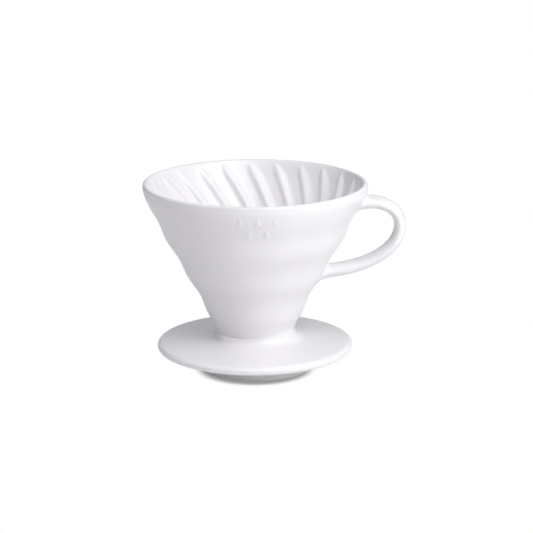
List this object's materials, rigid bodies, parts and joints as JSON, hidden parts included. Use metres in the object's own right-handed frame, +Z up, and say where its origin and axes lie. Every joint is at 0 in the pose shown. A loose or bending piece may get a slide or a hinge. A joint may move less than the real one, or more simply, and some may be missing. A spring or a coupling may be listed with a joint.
{
  "type": "pour over dripper",
  "caption": "Glazed ceramic coffee dripper: a cone with spiral ribs inside and an open outlet, a round base plate with a foot ring that centres it in a mug, and a strap handle.",
  "frame": {"origin": "on the cone's axis, in the plane of the foot ring's lower face, which stands on the table", "axes": "+Z up along the cone's axis, +X towards the handle, +Y away from the viewer"},
  "size_m": [0.1417, 0.12, 0.102],
  "materials": {
    "glaze": "satin gloss white glaze",
    "foot": "white glaze, with a bare matt ring where it stands"
  },
  "bodies": {
    "root": {"cone_cup": "glaze", "base_plate": "glaze", "foot_ring": "foot", "cone_slip_joint": "glaze", "handle": "glaze", "handle_upper_slip_joint": "glaze", "handle_lower_slip_joint": "glaze"}
  },
  "joints": []
}
